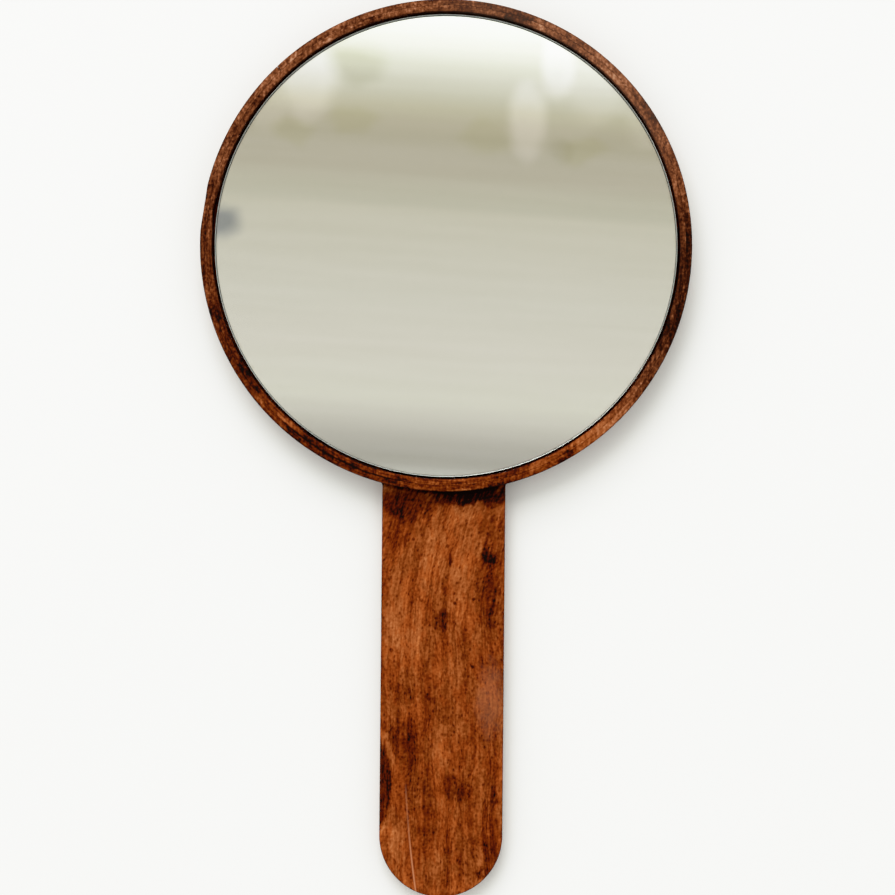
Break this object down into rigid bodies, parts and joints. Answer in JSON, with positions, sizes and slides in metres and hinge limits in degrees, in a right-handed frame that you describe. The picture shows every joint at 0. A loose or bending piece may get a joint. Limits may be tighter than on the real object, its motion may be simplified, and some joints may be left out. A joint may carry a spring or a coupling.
{
  "type": "hand mirror",
  "caption": "Round mirror glass in a thin bent wooden rim on a flat plywood paddle, with a round-ended handle for holding it in one hand.",
  "frame": {"origin": "on the flat back face, straight under the middle of the round glass", "axes": "+Z out of the glass, +Y from the handle towards the top of the head, +X to the right when the glass is looked at with the handle down"},
  "size_m": [0.1392, 0.2546, 0.0107],
  "materials": {
    "stained_face": "brown stain with a thin satin oil, straight grain along the handle",
    "stained_inner_ply": "stained end grain at the edge, bare inside",
    "stained_rim": "brown stain with a thin satin oil, grain bent round the head",
    "glass": "polished clear float glass with a ground bevel",
    "silvering": "bright silver seen through the glass",
    "backing_paint": "flat grey sealing paint",
    "foam_tape": "matte white closed-cell foam"
  },
  "bodies": {
    "root": {"back_veneer": "stained_face", "back_crossband": "stained_inner_ply", "core_veneer": "stained_inner_ply", "front_crossband": "stained_inner_ply", "face_veneer": "stained_face", "rim_outer_strip": "stained_rim", "rim_inner_strip": "stained_rim", "foam_tape_strips": "foam_tape", "backing_paint": "backing_paint", "silver_coat": "silvering", "mirror_glass": "glass"}
  },
  "joints": []
}
